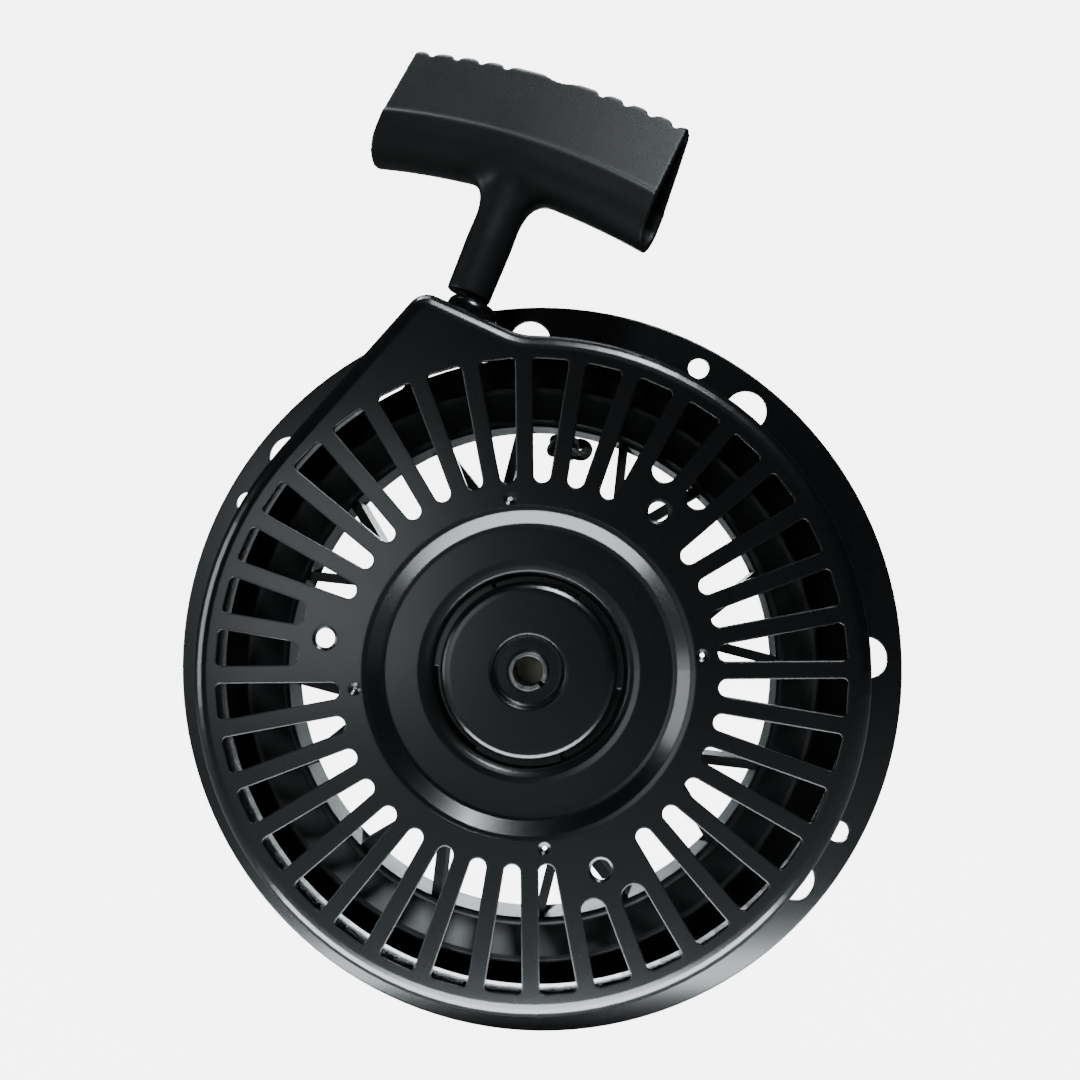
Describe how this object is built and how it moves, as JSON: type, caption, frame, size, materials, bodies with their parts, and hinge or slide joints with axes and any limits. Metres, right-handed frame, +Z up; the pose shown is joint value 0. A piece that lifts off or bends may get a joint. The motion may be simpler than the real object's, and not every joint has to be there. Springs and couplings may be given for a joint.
{
  "type": "recoil starter",
  "caption": "Pull-rope starter: round slotted pressed-steel housing with bolt flange, rope pulley, rewind spring, starter dogs and hollow T handle.",
  "frame": {"origin": "on the pulley's axis, in the engine-side face of the mounting flange", "axes": "+Z up, towards the pull handle's side; +Y along the pulley's axis towards the engine; the slotted face looks along -Y"},
  "size_m": [0.246, 0.05, 0.3283],
  "materials": {
    "black_steel": "satin black paint on pressed steel",
    "pulley_resin": "glass-filled black resin, satin",
    "grip_resin": "moulded charcoal resin, fine matte grain",
    "rubber_black": "smooth black rubber",
    "rope_black": "braided nylon rope, black",
    "pin_steel": "dark oiled spring steel, bright at its rim",
    "zinc_steel": "zinc-plated steel with a yellow cast",
    "spring_steel": "blued spring steel"
  },
  "bodies": {
    "housing": {"starter_housing": "black_steel", "rope_grommet": "rubber_black", "center_post": "zinc_steel", "center_pin": "pin_steel", "retaining_stem": "zinc_steel", "stem_washer": "zinc_steel", "rope_run": "rope_black"},
    "pulley": {"rope_pulley": "pulley_resin", "spring_keeper": "black_steel", "rewind_spring": "spring_steel", "rope_winding": "rope_black", "rope_tail": "rope_black", "pulley_knot": "rope_black", "dog_spring_a": "spring_steel", "dog_spring_b": "spring_steel", "brake_spring": "spring_steel", "brake_washer": "zinc_steel"},
    "retainer": {"dog_retainer": "zinc_steel"},
    "dog_a": {"starter_dog_a": "zinc_steel"},
    "dog_b": {"starter_dog_b": "zinc_steel"},
    "handle": {"handle_grip": "grip_resin", "knot_washer": "zinc_steel", "handle_rope": "rope_black", "handle_knot": "rope_black"}
  },
  "joints": [
    {"name": "pulley_spin", "type": "hinge", "parent": "housing", "child": "pulley", "pos_m": [0, -0.03, 0], "axis": [0, 1, 0], "range_deg": [0, 600], "deforming": ["rewind_spring", "rope_winding"]},
    {"name": "handle_pull", "type": "slide", "parent": "housing", "child": "handle", "axis": [0.3827, 0, 0.9239], "range_m": [0, 0.9]},
    {"name": "retainer_turn", "type": "hinge", "parent": "pulley", "child": "retainer", "pos_m": [0, -0.01, 0], "axis": [0, -1, 0], "range_deg": [0, 30]},
    {"name": "dog_a_swing", "type": "hinge", "parent": "pulley", "child": "dog_a", "pos_m": [0, -0.016, 0.028], "axis": [0, -1, 0], "range_deg": [0, 30], "deforming": ["dog_spring_a"]},
    {"name": "dog_b_swing", "type": "hinge", "parent": "pulley", "child": "dog_b", "pos_m": [0, -0.016, -0.028], "axis": [0, -1, 0], "range_deg": [0, 30], "deforming": ["dog_spring_b"]}
  ],
  "couplings": [
    {"joint": "handle_pull", "follows": "pulley_spin", "m_per_rad": 0.0857},
    {"joint": "dog_a_swing", "follows": "retainer_turn", "ratio": 1},
    {"joint": "dog_b_swing", "follows": "retainer_turn", "ratio": 1}
  ]
}
